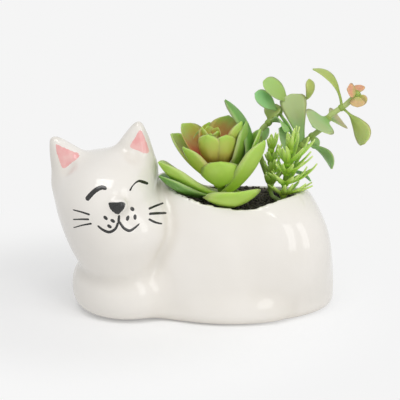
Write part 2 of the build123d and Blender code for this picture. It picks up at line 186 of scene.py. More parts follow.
planter_middle = (0, 0, 0.06)
soft_box("overhead soft box", (-0.1, -0.55, 1.15), planter_middle, 0.8, 0.5, 5.0)
soft_box("window pane left", (0.5, -0.98, 0.42), planter_middle, 0.26, 0.9, 1.4)
soft_box("window pane right", (0.9, -0.64, 0.42), planter_middle, 0.3, 0.9, 1.7)

# %% [markdown]
# The pot was slip-cast: liquid clay poured in a plaster mould, so every form runs softly into the
# next and no edge is sharp. Sculpting or subdivision could give that, but here the cat is written as
# a distance field: each form says how far a point is from its surface, and joining two forms with a
# smooth minimum fills the crease between them as glaze and clay do. The forms follow the CAD's own:
# body, haunch, hind paw, forequarters, head, cheeks, ears and nose. Softer joins, dished ears and a
# back rim that dips a little are added, as in the photograph.

# %% Distance field of the cat
head_middle = np.array([-53.5, -14.0, 66.0])
head_lean, ear_lean = 15.0, 10.5
grit_top = 61.5


def joined(a, b, reach):
    """Smooth union of two distances, rounded over a reach in millimetres."""
    near = np.maximum(reach - np.abs(a - b), 0) / reach
    return np.minimum(a, b) - near * near * reach / 4


def cut(a, b, reach):
    """What is left of a where b is taken away, with a rounded edge."""
    return -joined(-a, b, reach)


def rounded(points, halves, fullness):
    """Distance to a rounded form about its own middle; a fullness of 2 is an ellipsoid, more is boxier."""
    x, y, z = points.T
    a, b, c = halves
    around = np.sqrt((x / a) ** 2 + (y / b) ** 2) + 1e-9
    up = np.abs(z) / c
    size = (around**fullness + up**fullness) ** (1 / fullness) + 1e-9
    slope = (around / size) ** (fullness - 1) * np.sqrt((x / a**2) ** 2 + (y / b**2) ** 2) / around
    steep = (up / size) ** (fullness - 1) / c
    return (size - 1) / np.sqrt(slope**2 + steep**2 + 1e-12)


def in_head(points, lean):
    """Points in the head's own frame: across, back, up."""
    c, s = math.cos(math.radians(lean)), math.sin(math.radians(lean))
    x, y, z = (points - head_middle).T
    return np.stack([x * c + z * s, y, z * c - x * s], 1)


def from_head(points, lean):
    """Points of the head's own frame in the planter's frame."""
    c, s = math.cos(math.radians(lean)), math.sin(math.radians(lean))
    x, y, z = points.T
    return head_middle + np.stack([x * c - z * s, y, x * s + z * c], 1)


print("head's middle in its own frame:", in_head(head_middle[None], head_lean).round(1))

# %% [markdown]
# Next come the cat's forms themselves. An ear is a stack of ellipses between a root and a tip, hollowed
# in front by a small dish. The rest are rounded forms, each with its place, its half sizes, how full it
# is and how far its join runs. The opening and the flat foot are cut last, so their edges stay crisp.

# %% Forms of the cat
ear_root = np.array([13.5, 2.0, 18.0])
ear_tip = np.array([24.2, 0.0, 42.0])
ear_middle = np.array([1.6, 0.0, 0.0])
ear_half_width, ear_half_depth, ear_tip_round, ear_steepness = 16.3, 10.0, 2.5, 0.84


def taper(t, slope, root, tip):
    """Share of full size along an ear: a straight taper, drawn in below the root and at the tip."""
    below, above = np.minimum(t, 0), np.maximum(t, 0)
    return 1 - slope * t - root * below**2 - tip * above**4


def ear_form(local, side):
    """One ear: ellipses that shrink from root to tip, cut off round at the tip."""
    root, tip = ear_root * [side, 1, 1], ear_tip * [side, 1, 1]
    t = np.clip((local[:, 2] - root[2]) / (tip[2] - root[2]), -0.9, 1)
    width = ear_half_width * taper(t, 0.79, 1.4, 0.1)
    depth = ear_half_depth * taper(t, 0.62, 1.2, 0.18)
    u = (local[:, 0] - root[0] - (tip[0] - root[0]) * t) / width
    v = (local[:, 1] - root[1] - (tip[1] - root[1]) * t) / depth
    q = np.sqrt(u * u + v * v) + 1e-9
    across = ear_steepness * (q - 1) * q / np.sqrt((u / width) ** 2 + (v / depth) ** 2 + 1e-12)
    return cut(across, tip[2] - local[:, 2], ear_tip_round)


# Each form: its middle, its half sizes, its fullness and the reach of its join.
loaf_x, loaf_wall, loaf_half, loaf_full = 14, 10, (62.5, 41, 80), 2.25
body_forms = {
    "haunch": ((45.5, -17, 36), (26.5, 21.5, 30), 2.2, 10),
    "hind paw": ((20, -33.5, 6), (26, 8.5, 9), 2.3, 8),
    "forequarters": ((-42, -6, 14), (33, 35, 24), 2.2, 8),
}
crown_rise, skull_half, skull_full = 28.5, (29.2, 34, 55), 2.25
cheeks = ((8, -5, -17), (24.5, 26, 18), 2.2, 7)
ear_dish, dish_half, dish_round = (20.4, -11.2, 31.0), (5.5, 5.0, 8.0), 4
nose = ((8.2, -31.6, 4.8), (5.4, 3.0, 4.2), 2.2, 2)
ear_join, neck_join, rim_round, dip_round, foot_round = 9, 4.5, 2, 3, 6
mouth_x, mouth_half, well_floor = 17, (41, 30.3, 1), 5
dip_height, dip_fall, dip_end_x, dip_climb_head, dip_climb_front = 68.6, 0.23, 6, 0.02, 0.05


def cat_distance(points):
    """Distance in millimetres from the surface of the cat pot, negative inside the clay."""
    x, y, z = points.T
    loaf = np.stack([x - loaf_x, y, np.maximum(z - loaf_wall, 0)], 1)
    cat = rounded(loaf, loaf_half, loaf_full)
    for middle, half, fullness, reach in body_forms.values():
        cat = joined(cat, rounded(points - middle, half, fullness), reach)
    skull = in_head(points, head_lean)
    middle, half, fullness, reach = cheeks
    jowls = rounded(skull - middle, half, fullness)
    skull[:, 2] *= np.where(skull[:, 2] > 0, skull_half[2] / crown_rise, 1)
    head = joined(rounded(skull, skull_half, skull_full), jowls, reach)
    face = in_head(points, ear_lean)
    for side in (-1, 1):
        head = joined(head, ear_form(face - ear_middle, side), ear_join)
        dish = face - ear_middle - ear_dish * np.array([side, 1, 1])
        head = cut(head, rounded(dish, dish_half, 2.0), dish_round)
    cat = joined(cat, head, neck_join)
    middle, half, fullness, reach = nose
    cat = joined(cat, rounded(face - middle, half, fullness), reach)
    mouth = rounded(np.stack([x - mouth_x, y, 0 * z], 1), mouth_half, 2)
    cat = cut(cat, np.maximum(mouth, well_floor - z), rim_round)
    # The back rim dips, and climbs again towards the head and towards the front.
    to_head, to_front = np.maximum(dip_end_x - x, 0), np.maximum(-y, 0)
    back_rim = dip_height - dip_fall * y + dip_climb_head * to_head**2 + dip_climb_front * to_front**2
    cat = cut(cat, back_rim - z, dip_round)
    return cut(cat, z, foot_round)


def outward(points, step=0.25):
    """Unit normals of the cat's surface."""
    sides = np.eye(3) * step
    slope = np.stack([cat_distance(points + s) - cat_distance(points - s) for s in sides], 1)
    return slope / (np.linalg.norm(slope, axis=1)[:, None] + 1e-12)


print("clay over the head's middle in mm:", np.round(-cat_distance(head_middle[None]), 1))

# %% [markdown]
# A distance field becomes a mesh by surface nets: space is cut into small cubes, each cube that the
# surface passes through gets one vertex at the mean of its edge crossings, and neighbours join into
# quads. The vertices are then evened out and pulled exactly onto the surface, so the glaze reflects
# without facets.

# %% Pot mesh
cell = 1.25
pot_low = np.array([-91.3, -52.3, -2.6])
pot_cells = np.array([135, 78, 95])


def surface_nets(field, low, step):
    """Vertices and quads of the zero level of a sampled field."""
    inside = field < 0
    n = np.array(field.shape) - 1
    corners = [np.array([i, j, k]) for i in (0, 1) for j in (0, 1) for k in (0, 1)]
    total = sum(inside[i : i + n[0], j : j + n[1], k : k + n[2]].astype(np.int8) for i, j, k in corners)
    cells = np.argwhere((total > 0) & (total < 8))
    place, crossings = np.zeros((len(cells), 3)), np.zeros(len(cells))
    for a in corners:
        for axis in range(3):
            if a[axis]:
                continue
            b = a + np.eye(3, dtype=int)[axis]
            fa, fb = field[tuple((cells + a).T)], field[tuple((cells + b).T)]
            crossed = (fa < 0) != (fb < 0)
            share = np.where(crossed, fa / np.where(crossed, fa - fb, 1), 0)
            place += np.where(crossed[:, None], a + share[:, None] * (b - a), 0)
            crossings += crossed
    number = np.full(n, -1)
    number[tuple(cells.T)] = np.arange(len(cells))
    quads = []
    for axis in range(3):
        one, two = np.eye(3, dtype=int)[(axis + 1) % 3], np.eye(3, dtype=int)[(axis + 2) % 3]
        ahead = np.roll(inside, -1, axis)
        edges = np.argwhere(inside != ahead)
        edges = edges[((edges > 0) & (edges < n)).all(1)]
        loop = [number[tuple((edges - one * p - two * q).T)] for p, q in ((1, 1), (0, 1), (0, 0), (1, 0))]
        loop = np.stack(loop, 1)
        leaving = inside[tuple(edges.T)]
        quads.append(np.where(leaving[:, None], loop, loop[:, ::-1]))
    return low + (cells + place / crossings[:, None]) * step, np.concatenate(quads)


def new_object(name, vertices, faces, material, body, slot=None):
    """A smooth mesh object in metres from millimetres, riding on a body."""
    mesh = bpy.data.meshes.new(name)
    mesh.from_pydata((np.asarray(vertices) * MM).tolist(), [], [list(map(int, f)) for f in faces])
    mesh.polygons.foreach_set("use_smooth", [True] * len(mesh.polygons))
    mesh.materials.append(material)
    thing = bpy.data.objects.new(name, mesh)
    bpy.context.scene.collection.objects.link(thing)
    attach(thing, body)
    return thing


def set_values(thing, name, values):
    """Keep one number per vertex for the material to read."""
    attribute = thing.data.attributes.new(name, "FLOAT", "POINT")
    attribute.data.foreach_set("value", np.asarray(values, np.float32))


axes = [pot_low[i] + cell * np.arange(pot_cells[i] + 1) for i in range(3)]
samples = np.stack(np.meshgrid(*axes, indexing="ij"), -1)
field = cat_distance(samples.reshape(-1, 3)).reshape(samples.shape[:3])
pot_points, pot_quads = surface_nets(field, pot_low, cell)
sides = np.concatenate([pot_quads[:, [i, (i + 1) % 4]] for i in range(4)])
valence = np.bincount(sides[:, 0], minlength=len(pot_points))
evening_rounds, pulls_each = 6, 2
for rounds in range(evening_rounds):
    mean = np.zeros_like(pot_points)
    np.add.at(mean, sides[:, 0], pot_points[sides[:, 1]])
    pot_points = pot_points * 0.5 + 0.5 * mean / valence[:, None]
    for pulls in range(pulls_each):
        pot_points = pot_points - outward(pot_points) * cat_distance(pot_points)[:, None]
print("pot mesh:", len(pot_points), "vertices; size in mm", np.round(np.ptp(pot_points, 0), 1))

# %% [markdown]
# The glaze is a dipped white gloss glaze on stoneware. It is thick and slightly wavy, so reflections
# wobble a little, and it gathers thicker in the creases. There the colour is painted darker and warmer:
# partly the thicker glaze, partly painted shade in the creases. The foot ring is wiped clean before
# firing, so the clay shows there, dry and cream. How deep a place sits in a crease is read from the
# distance field a few millimetres out, and kept on the mesh.

# %% White glaze
# Thick gloss glaze: a wet, bright white with wavy window reflections, painted darker and warmer in the
# creases, as thicker glaze and as painted shade.
white_glaze, tree, surface, where = start_material("stoneware with dipped white gloss glaze")
pooled_and_shaded = add_node(tree, "Attribute", {"attribute_name": "pooling_and_crease_shade"}).outputs["Fac"]
cloud_size = 30 * MM
cloud = add_node(tree, "TexNoise", Vector=where, Scale=1 / cloud_size, Detail=2.0)
# Random clouds plus crease depth: the darker, warmer end of the ramp is painted shade in the creases,
# together with glaze gathered thicker there.
tint = add_node(tree, "Math", {"operation": "MULTIPLY_ADD"}, _0=cloud, _1=0.35, _2=pooled_and_shaded)
glazed = add_node(tree, "ValToRGB", None, [(0.1, "#F4F0EA"), (0.95, "#DDD6C9")], Fac=tint)
height = add_node(tree, "SeparateXYZ", Vector=where)
wiped_below, glazed_above = 0.5 * MM, 1.1 * MM
foot = add_node(tree, "MapRange", Value=height.outputs["Z"])
set_inputs(foot, From_Min=wiped_below, From_Max=glazed_above, To_Min=1.0, To_Max=0.0)
clay_speck = 0.8 * MM
specks = add_node(tree, "TexNoise", Vector=where, Scale=1 / clay_speck, Detail=3.0)
clay = add_node(tree, "ValToRGB", None, [(0.35, "#CFC1A8"), (0.7, "#E2D7C3")], Fac=specks)
colour = add_node(tree, "Mix", {"data_type": "RGBA"}, Factor=foot, A=glazed, B=clay)
glaze_rough, clay_rough = 0.07, 0.85
rough = add_node(tree, "MapRange", Value=foot, To_Min=glaze_rough, To_Max=clay_rough)
wave_size, wave_height = 16 * MM, 0.5 * MM
waves = add_node(tree, "TexNoise", Vector=where, Scale=1 / wave_size, Detail=1.0)
wobble = add_node(tree, "Bump", Strength=0.22, Distance=wave_height, Height=waves)
peel_size, peel_height = 2.2 * MM, 0.08 * MM
peel = add_node(tree, "TexNoise", Vector=where, Scale=1 / peel_size, Detail=1.0)
skin = add_node(tree, "Bump", Strength=0.05, Distance=peel_height, Height=peel, Normal=wobble)
glass_ior = 1.52
set_inputs(surface, Base_Color=colour.outputs["Result"], Roughness=rough, IOR=glass_ior, Normal=skin)

pot = new_object("cat_pot_glazed", pot_points, pot_quads, white_glaze, "pot", "white_glaze")
# Crease depth of each vertex; it drives the painted crease shade and the thicker glaze there.
crease_reach = 6.0
air = cat_distance(pot_points + outward(pot_points) * crease_reach)
set_values(pot, "pooling_and_crease_shade", np.clip(1 - air / crease_reach, 0, 1))
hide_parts("cat_pot")

# %% [markdown]
# The face is painted by hand before the glaze: two closed eyes, nose, smile, whisker dots and
# whiskers, each one a loaded brush stroke that swells and tapers. A texture could carry it, but
# strokes as thin meshes laid on the surface stay sharp at any distance. Their places are across and
# up in the head's own frame, and each point is pushed back until it meets the clay.

# %% Laying paint on the surface
paint_rise, paint_sink, brush_load, thinnest = 0.14, 0.03, 1.4, 0.15
search_from, search_to, search_steps, halvings = -50.0, -2.0, 40, 18


def on_face(across_up, rise=0.0):
    """Points on the cat's surface at places across and up the head, raised a little off it."""
    places = np.asarray(across_up, float)
    near, far = np.full(len(places), search_from), np.full(len(places), search_to)
    at = lambda back: from_head(np.stack([places[:, 0], back, places[:, 1]], 1), ear_lean)
    steps = np.linspace(0, 1, search_steps)
    depth = np.stack([cat_distance(at(near + (far - near) * s)) for s in steps])
    first = np.argmax(depth < 0, axis=0)
    low, high = near + (far - near) * steps[np.maximum(first - 1, 0)], near + (far - near) * steps[first]
    for halving in range(halvings):
        middle = (low + high) / 2
        outside = cat_distance(at(middle)) > 0
        low, high = np.where(outside, middle, low), np.where(outside, high, middle)
    points = at(high)
    return points + outward(points) * np.reshape(rise, (-1, 1))


def smooth_through(places, values, at):
    """A smooth curve through values given at places."""
    places, values, at = np.asarray(places, float), np.asarray(values, float), np.asarray(at, float)
    slopes = np.gradient(values, places, axis=0)
    i = np.clip(np.searchsorted(places, at, side="right") - 1, 0, len(places) - 2)
    gap = places[i + 1] - places[i]
    s = (at - places[i]) / gap
    if values.ndim > 1:
        s, gap = s[:, None], gap[:, None]
    rise = values[i] * (2 * s**3 - 3 * s**2 + 1) + values[i + 1] * (3 * s**2 - 2 * s**3)
    return rise + gap * (slopes[i] * (s**3 - 2 * s**2 + s) + slopes[i + 1] * (s**3 - s**2))


def grid_quads(rows, count, closed=False):
    """Quads between rows of vertices; closed rows join their last vertex to their first."""
    grid = np.arange(rows * count).reshape(rows, count)
    if closed:
        grid = np.column_stack([grid, grid[:, 0]])
    return np.stack([grid[:-1, :-1], grid[1:, :-1], grid[1:, 1:], grid[:-1, 1:]], -1).reshape(-1, 4)


def disc_faces(rings, spokes):
    """Triangles round a middle vertex, then quads from ring to ring."""
    at = lambda r, i: 1 + r * spokes + i % spokes
    faces = [(0, at(0, i), at(0, i + 1)) for i in range(spokes)]
    for r in range(rings - 1):
        faces += [(at(r, i), at(r + 1, i), at(r + 1, i + 1), at(r, i + 1)) for i in range(spokes)]
    return faces


def brush_stroke(points, widths, steps=36, across=5):
    """A tapered stroke: its vertices and quads on the face."""
    points, widths = np.asarray(points, float), np.asarray(widths) * brush_load
    run = np.concatenate([[0], np.cumsum(np.linalg.norm(np.diff(points, axis=0), axis=1))])
    along = np.linspace(0, run[-1], steps)
    line = smooth_through(run, points, along)
    width = np.maximum(smooth_through(run, widths, along), thinnest)
    ends = np.minimum(along, run[-1] - along) / (np.asarray(widths).mean() / 2)
    width = width * np.sqrt(np.clip(ends * (2 - np.minimum(ends, 1)), 0.02, 1))
    way = np.gradient(line, along, axis=0)
    way /= np.linalg.norm(way, axis=1)[:, None]
    side = np.stack([-way[:, 1], way[:, 0]], 1)
    shares = np.linspace(-1, 1, across)
    places = line[:, None] + side[:, None] * (shares[None, :] * width[:, None] / 2)[..., None]
    rise = np.broadcast_to(paint_rise * (1 - shares**2) - paint_sink, (steps, across))
    return on_face(places.reshape(-1, 2), rise.ravel()), grid_quads(steps, across)


def paint_patch(outline, rings=6, steps=48):
    """A filled patch with a smooth closed outline."""
    closed = np.asarray([*outline, outline[0]], float)
    wrapped = np.concatenate([closed[-4:-1], closed, closed[1:4]])
    at = np.linspace(3, 3 + len(outline), steps, endpoint=False)
    edge = smooth_through(np.arange(len(wrapped)), wrapped, at)
    middle = edge.mean(0)
    shares = np.linspace(0, 1, rings + 1)[1:]
    places = np.concatenate([[middle], *[middle + (edge - middle) * s for s in shares]])
    domed = paint_rise * (1 - shares**6) - paint_sink
    rise = np.concatenate([[paint_rise], np.repeat(domed, steps)])
    return on_face(places, rise), disc_faces(rings, steps)


def gathered(meshes):
    """Several vertex and face lists as one."""
    vertices, faces, start = [], [], 0
    for some, quads in meshes:
        vertices.append(some)
        faces += [[int(v) + start for v in quad] for quad in quads]
        start += len(some)
    return np.concatenate(vertices), faces


print("middle of the face in mm:", on_face([(8.0, 4.0)]).round(1))

# %% [markdown]
# Underglaze is coloured clay slip, brushed on the dry pot and covered by the clear gloss. So both
# colours shine as the white does, and where the brush ran thin the colour is a little paler.

# %% Black and pink underglaze
# Black under gloss: nearly black, with faint bristle streaks and a sharp shine.
face_black, tree, surface, where = start_material("black underglaze under gloss")
bristle = 0.7 * MM
streaks = add_node(tree, "TexNoise", Vector=where, Scale=1 / bristle, Detail=2.0)
ink = add_node(tree, "ValToRGB", None, [(0.3, "#1B1B1B"), (0.75, "#3A3A38")], Fac=streaks)
set_inputs(surface, Base_Color=ink, Roughness=0.16, IOR=glass_ior)

# Pink under gloss: a soft wash, uneven where the brush lapped.
ear_pink, tree, surface, where = start_material("pink underglaze under gloss")
brush = 5 * MM
washes = add_node(tree, "TexNoise", Vector=where, Scale=1 / brush, Detail=3.0)
pink = add_node(tree, "ValToRGB", None, [(0.3, "#F0A7A6"), (0.72, "#F6C8C3")], Fac=washes)
set_inputs(surface, Base_Color=pink, Roughness=0.1, IOR=glass_ior)
print("underglazes:", face_black.name, "and", ear_pink.name)

# %% [markdown]
# The strokes follow the painter's hand: eyes, then the line from nose to smile, then whiskers, each as
# points and the width of the stroke at them. The nose and the ears are filled patches, and the whisker
# dots are short dabs.

# %% Painted face
strokes = [
    ([(-8.2, 10.9), (-5.1, 13.4), (-1.3, 15.5), (1.7, 16.0), (4.1, 14.9)], [2.0, 2.0, 1.9, 1.7, 1.4]),
    ([(15.9, 10.4), (17.5, 12.1), (20.9, 13.1), (23.3, 11.4), (25.6, 9.0)], [1.0, 0.6, 0.8, 1.0, 0.8]),
    ([(8.1, -0.1), (7.5, -2.3), (6.9, -4.4)], [1.1, 1.2, 1.1]),
    ([(6.9, -4.0), (4.4, -7.5), (1.0, -8.5), (-2.3, -6.6), (-4.7, -3.7)], [1.1, 1.2, 1.4, 1.2, 0.9]),
    (
        [(7.2, -3.3), (8.1, -5.7), (9.4, -8.3), (11.9, -10.2), (15.1, -9.4), (17.9, -8.1)],
        [1.0, 1.1, 1.2, 1.3, 1.0, 0.6],
    ),
    ([(-17.0, 5.8), (-12.3, 4.7), (-7.6, 2.9)], [0.6, 0.8, 1.0]),
    ([(-18.2, 0.1), (-13.2, 0.5), (-8.6, 0.3)], [0.6, 0.8, 1.0]),
    ([(-19.1, -5.0), (-13.4, -3.1), (-7.6, -2.2)], [0.5, 0.7, 1.0]),
    ([(23.7, -2.8), (27.8, -3.5), (31.5, -5.0)], [1.0, 0.8, 0.6]),
    ([(23.5, -5.2), (27.7, -7.0), (32.4, -9.9)], [1.0, 0.9, 0.7]),
    ([(22.9, -7.6), (25.9, -10.6), (29.3, -13.4)], [0.8, 0.8, 0.6]),
]
nose_outline = [
    (3.5, 7.6), (5.0, 8.1), (8.0, 7.6), (11.2, 7.2), (12.7, 5.8),
    (12.0, 3.7), (9.8, 1.5), (7.8, 0.1), (5.7, 1.9), (4.0, 4.6),
]
dots = [(0.6, -0.1), (4.1, -2.6), (1.7, -5.3), (15.5, 0.7), (12.2, -3.3), (16.1, -4.0)]
dot_half_length, dot_half_width = 1.6, 1.0
dot_lean = [(-0.5, 0.85), (-0.5, 0.6), (-0.5, 0.6), (-0.5, 0.9), (0.35, 0.8), (0.1, 0.85)]


def dot_outline(middle, lean):
    """A short brush dab as an oval, longer along its lean."""
    turns = np.radians(np.arange(0, 360, 45))
    way = np.array(lean) / np.linalg.norm(lean)
    side = np.array([-way[1], way[0]])
    long, wide = way * dot_half_length, side * dot_half_width
    return [np.array(middle) + long * math.cos(a) + wide * math.sin(a) for a in turns]


dabs = [paint_patch(dot_outline(d, lean), 3, 24) for d, lean in zip(dots, dot_lean)]
parts = [brush_stroke(*s) for s in strokes] + dabs
new_object("painted_face", *gathered(parts), face_black, "pot", "face_paint")
new_object("painted_nose", *paint_patch(nose_outline), face_black, "pot", "face_paint")
ear_patches = {
    "ear_pink_right": [
        (-22.0, 38.2), (-18.5, 36.2), (-13.6, 33.0), (-9.6, 29.8),
        (-14.0, 27.0), (-20.4, 24.3), (-22.0, 31.0),
    ],
    "ear_pink_left": [(26.5, 37.6), (23.0, 34.6), (18.9, 29.6), (23.0, 26.4), (28.6, 23.4), (28.4, 30.5)],
}
for name, outline in ear_patches.items():
    new_object(name, *paint_patch(outline), ear_pink, "pot", "ear_pink")
print("brush strokes:", len(strokes), "dabs:", len(dots))

# %% [markdown]
# The filling is a green dry-foam block with a crust of dark grit glued on it. The foam keeps its CAD
# solid, because it is only seen through gaps in the grit. The grit gets a lumpy skin and loose
# grains, with a fixed seed so that each run is the same.

# %% Foam and grit
# Cut dry foam: dull, dark green and full of pores; the colour is painted darker in the dents of the
# pores, as painted shade.
material, tree, surface, where = start_material("dry floral foam, cut")
pore, pore_depth = 1.0 * MM, 0.4 * MM
pores = add_node(tree, "TexVoronoi", Vector=where, Scale=1 / pore).outputs["Distance"]
foam_green_and_pore_shade = add_node(tree, "ValToRGB", None, [(0.1, "#1E2A1A"), (0.6, "#3F5637")], Fac=pores)
dents = add_node(tree, "Bump", Strength=0.6, Distance=pore_depth, Height=pores)
set_inputs(surface, Base_Color=foam_green_and_pore_shade, Roughness=0.9, Normal=dents)
dress("foam_block", material)

# Bonded grit: dry, nearly black stone with a paler grain here and there.
grit_stone, tree, surface, where = start_material("crushed stone grit, bonded")
grain, grain_height = 1.6 * MM, 0.6 * MM
grit_stops = [(0.1, "#231F1A"), (0.55, "#3A352D"), (0.95, "#6B6252")]
cells = add_node(tree, "TexVoronoi", Vector=where, Scale=1 / grain)
shade = add_node(tree, "ValToRGB", None, grit_stops, Fac=cells.outputs["Color"])
lumps = add_node(tree, "Bump", Strength=0.8, Distance=grain_height, Height=cells.outputs["Distance"])
set_inputs(surface, Base_Color=shade, Roughness=0.85, Normal=lumps)

grit_middle, grit_half, grit_depth = np.array([17.0, 0.0]), np.array([40.4, 29.7]), 4.5
seeded = np.random.default_rng(7)
rings, spokes = 34, 110
shares = np.linspace(0, 1, rings + 1)[1:]
turns = np.linspace(0, 2 * math.pi, spokes, endpoint=False)
flat = np.concatenate([[[0, 0]], *[np.stack([np.cos(turns), np.sin(turns)], 1) * s for s in shares]])
lump_height = 0.5 * seeded.random(len(flat)) + 0.5 * np.sin(flat[:, 0] * 9 + 1) * np.cos(flat[:, 1] * 8)
top = np.column_stack([grit_middle + flat * grit_half, grit_top - 0.5 + 0.5 * lump_height])
skirt = top[-spokes:] * [1, 1, 0] + [0, 0, grit_top - grit_depth]
faces = disc_faces(rings + 1, spokes)
faces += [tuple(len(flat) + i for i in range(spokes))[::-1]]
grit_meshes = [(np.concatenate([top, skirt]), faces)]
block = np.array([[i, j, k] for i in (-1, 1) for j in (-1, 1) for k in (-1, 1)], float)
sides = [(0, 1, 3, 2), (4, 6, 7, 5), (0, 4, 5, 1), (2, 3, 7, 6), (0, 2, 6, 4), (1, 5, 7, 3)]
grain_count = 900
for each in range(grain_count):
    turn, out = seeded.random() * 2 * math.pi, math.sqrt(seeded.random()) * 0.97
    stone = block * seeded.uniform(0.3, 0.75, (1, 3)) * seeded.uniform(0.75, 1.25, (8, 1))
    spin, _ = np.linalg.qr(seeded.normal(size=(3, 3)))
    spin[:, 0] *= np.sign(np.linalg.det(spin))
    at = grit_middle + grit_half * out * [math.cos(turn), math.sin(turn)]
    grit_meshes.append((stone @ spin.T + [*at, grit_top - 0.25], sides))
grit = new_object("grit_topping_grains", *gathered(grit_meshes), grit_stone, "pot", "dark_grit")
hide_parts("grit_topping")
print("grit grains:", grain_count)

# %% [markdown]
# All three plants are moulded in soft plastic, leaf by leaf, on collars threaded on a stem. A leaf is
# built as a closed lens-shaped loft: its midrib is an arc, its section is cupped, and its outline
# swells and comes to a point. The rows below follow the CAD's leaves, turned and curled as they are
# in the photograph: turn from +X, rise from level, bend of the midrib, twist about it, then length,
# width and cup, the leaf's tone (0 the bright green, 1 the second green: blue-green on the sprig, and
# on the rosette a darker green that also paints the shade on leaves lying in shadow) and its blush,
# and for a leaf with a blunt end how much of the blunt outline it has.

# %% Leaf builder
leaf_rows, leaf_across = 20, 9
leaf_values = ("along", "across", "tone", "blush")
under_blush, groove_share, root_spread = 0.5, 0.18, 0.9
collar_values = [0.05, 0.0, 0.3, 0.0]
off_every_stem = [0.3, 0.9, 0.2]


def leaf_frame(turn, rise, twist):
    """Directions at a leaf's root: along it, out of its upper face, and across it."""
    a, e, w = (math.radians(v) for v in (turn, rise, twist))
    along = np.array([math.cos(a) * math.cos(e), math.sin(a) * math.cos(e), math.sin(e)])
    level = np.array([-math.cos(a) * math.sin(e), -math.sin(a) * math.sin(e), math.cos(e)])
    up = level * math.cos(w) + np.cross(level, along) * math.sin(w)
    return along, up, np.cross(up, along)


def moulded_leaf(root, row, kind):
    """One leaf: vertices, faces, and along, across, tone and blush of each vertex."""
    turn, rise, bend, twist, long, wide, cup, tone, blush, *blunt = row
    along, up, across = leaf_frame(turn, rise, twist)
    length, beta = kind["length"] * long, math.radians(bend)
    t = np.linspace(0, 1, leaf_rows) ** root_spread
    outline = smooth_through(*np.array(kind["outline"]).T, t)
    for share in blunt:
        outline = outline * (1 - share) + share * smooth_through(*np.array(kind["blunt"]).T, t)
    half = kind["width"] * wide / 2 * outline
    thick = kind["thickness"] * (1 - t / 2) / 2
    radius = length / beta
    middle = root + radius * (np.sin(beta * t)[:, None] * along + (1 - np.cos(beta * t))[:, None] * up)
    lift = np.cos(beta * t)[:, None] * up - np.sin(beta * t)[:, None] * along
    shares = np.linspace(-1, 1, leaf_across)
    ring = np.concatenate([shares, shares[-2:0:-1]])
    face = np.concatenate([np.ones(leaf_across), -np.ones(leaf_across - 2)])
    groove = kind["groove"] * np.exp(-((ring / groove_share) ** 2)) * np.sin(np.pi * t)[:, None]
    out = half[:, None] * cup * ring**2 + face * thick[:, None] * (1 - ring**2) - groove
    places = middle[:, None] + across * (half[:, None] * ring)[..., None] + lift[:, None] * out[..., None]
    count = len(ring)
    first = np.arange(count)
    last = first + (leaf_rows - 1) * count
    faces = [*grid_quads(leaf_rows, count, True), first, last[::-1]]
    values = np.stack(
        [
            np.repeat(t, count),
            np.tile(ring, leaf_rows),
            np.full(leaf_rows * count, tone),
            np.tile(blush * np.where(face > 0, 1.0, under_blush), leaf_rows),
        ],
        1,
    )
    return places.reshape(-1, 3), faces, values


def collar(middle, way, radius, height, swell):
    """A rounded ring of plastic round the stem that the leaves grow from."""
    way = np.asarray(way, float) / np.linalg.norm(way)
    one = np.cross(way, off_every_stem)
    one /= np.linalg.norm(one)
    two = np.cross(way, one)
    rows, steps = 9, 20
    rise = np.linspace(-1, 1, rows)
    reach = radius + swell * np.sqrt(np.maximum(1 - rise**2, 0))
    turns = np.linspace(0, 2 * math.pi, steps, endpoint=False)
    around = np.cos(turns)[:, None] * one + np.sin(turns)[:, None] * two
    places = middle + (rise * height / 2)[:, None, None] * way + reach[:, None, None] * around
    first = np.arange(steps)
    last = first + (rows - 1) * steps
    faces = [*grid_quads(rows, steps, True)[:, [0, 3, 2, 1]], first[::-1], last]
    return places.reshape(-1, 3), faces, np.tile(collar_values, (rows * steps, 1))


def plant_piece(name, pieces, material, body, slot):
    """Join moulded leaves into the object that stands for a CAD node of the same name."""
    vertices, faces = gathered([(v, f) for v, f, _ in pieces])
    thing = new_object(name + "_moulded", vertices, faces, material, body, slot)
    values = np.concatenate([v for _, _, v in pieces])
    for i, value in enumerate(leaf_values):
        set_values(thing, value, values[:, i])
    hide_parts(name)
    return thing


print("vertices to a leaf:", leaf_rows * (2 * leaf_across - 2))

# %% [markdown]
# The leaf plastic is soft polyethylene with a satin skin, sprayed with colour: bright yellow-green on
# the rosette, bluish green with pink edges on the sprig. The spray runs from the root to the tip, so
# the colour follows how far along the leaf a point is. Thin leaves let a little light through, which
# a short subsurface radius gives.

# %% Leaf plastic
# Soft polyethylene: satin, a little see-through, never wet.
plastic_ior = 1.5


